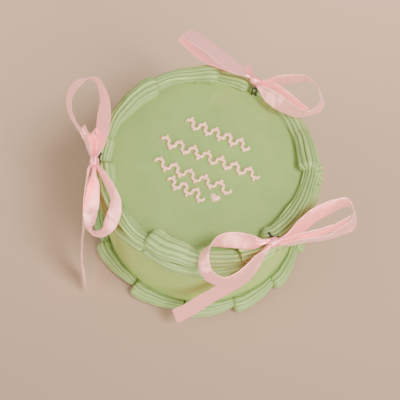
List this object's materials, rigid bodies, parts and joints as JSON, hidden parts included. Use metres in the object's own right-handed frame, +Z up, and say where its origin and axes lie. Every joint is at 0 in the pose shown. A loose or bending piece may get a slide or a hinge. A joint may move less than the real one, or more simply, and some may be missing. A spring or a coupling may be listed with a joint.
{
  "type": "bento cake",
  "caption": "Small round frosted cake with a piped rope border along the top edge, swags on its side, a teardrop border at its foot, ribbon bows on pins and a flat top with piped wavy stems.",
  "frame": {"origin": "centre of the cake's flat underside, on its axis", "axes": "+Z up along the cake's axis, -Y towards the front of the pictured view, +X to the viewer's right"},
  "size_m": [0.1583, 0.147, 0.0868],
  "materials": {
    "icing": "smooth sage green buttercream, softly matt",
    "piping": "piped sage green buttercream with ridges, softly matt",
    "satin": "pale pink satin ribbon with a soft sheen",
    "wire": "glossy black coated wire"
  },
  "bodies": {
    "root": {"cake_body": "icing", "top_border": "piping", "base_border": "piping", "bow_front": "satin", "bow_back": "satin", "bow_left": "satin", "pin_front": "wire", "pin_back": "wire", "pin_left": "wire"}
  },
  "joints": []
}
